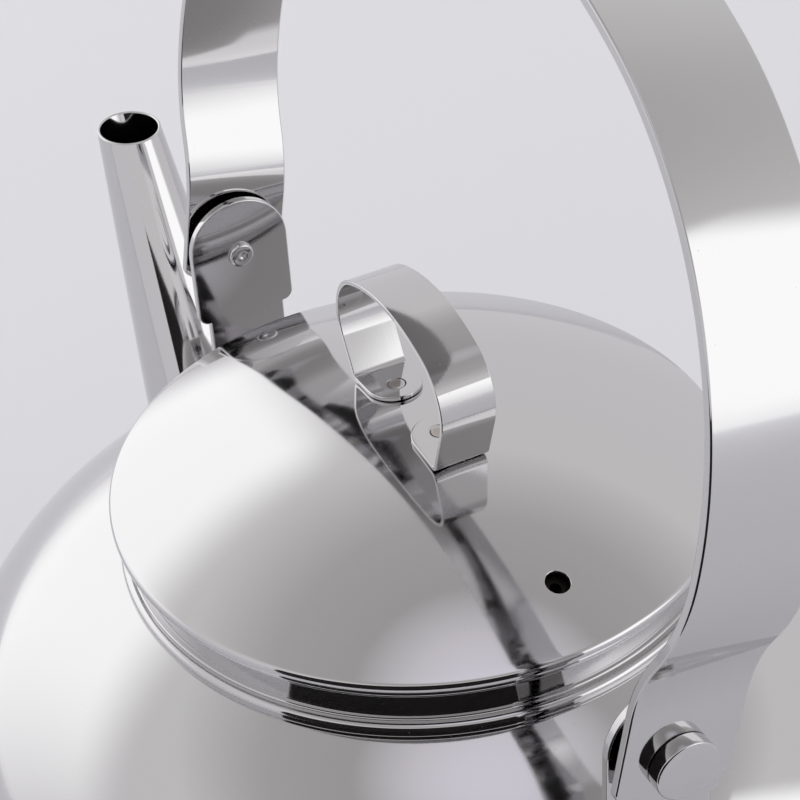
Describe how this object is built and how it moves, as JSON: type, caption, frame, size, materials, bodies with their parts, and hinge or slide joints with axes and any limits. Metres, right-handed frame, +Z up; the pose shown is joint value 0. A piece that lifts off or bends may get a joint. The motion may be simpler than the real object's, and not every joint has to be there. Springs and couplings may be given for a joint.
{
  "type": "stovetop kettle",
  "caption": "Polished steel hob kettle with a domed body, straight raised spout, lift-off lid with a bent strip knob, and a riveted strip bail handle.",
  "frame": {"origin": "centre of the base's flat resting face, on the hob", "axes": "+Z up; +X towards the spout; the handle's rivets lie on one axis along X; +Y to the left of someone who looks along the spout"},
  "size_m": [0.2858, 0.218, 0.2892],
  "materials": {
    "polished_steel": "mirror-polished stainless steel sheet",
    "plain_steel": "satin stainless steel, as pressed",
    "aluminium_disc": "matt aluminium, enclosed in the base"
  },
  "bodies": {
    "kettle": {"body_dome": "polished_steel", "body_pan": "polished_steel", "base_core": "aluminium_disc", "base_cap": "polished_steel", "neck_ring": "polished_steel", "spout_tube": "polished_steel", "front_ear": "polished_steel", "rear_ear": "polished_steel", "front_washer": "plain_steel", "rear_washer": "plain_steel", "front_rivet": "polished_steel", "rear_rivet": "polished_steel"},
    "handle": {"handle_strip": "polished_steel"},
    "lid": {"lid_shell": "polished_steel", "lid_skirt": "plain_steel", "knob_strip": "polished_steel", "whistle_cup": "plain_steel", "whistle_disc": "plain_steel"}
  },
  "joints": [
    {"name": "handle_swing", "type": "hinge", "parent": "kettle", "child": "handle", "pos_m": [0, 0, 0.15192], "axis": [1, 0, 0], "range_deg": [-120, 100]},
    {"name": "lid_lift", "type": "slide", "parent": "kettle", "child": "lid", "axis": [0, 0, 1], "range_m": [0, 0.08]}
  ]
}
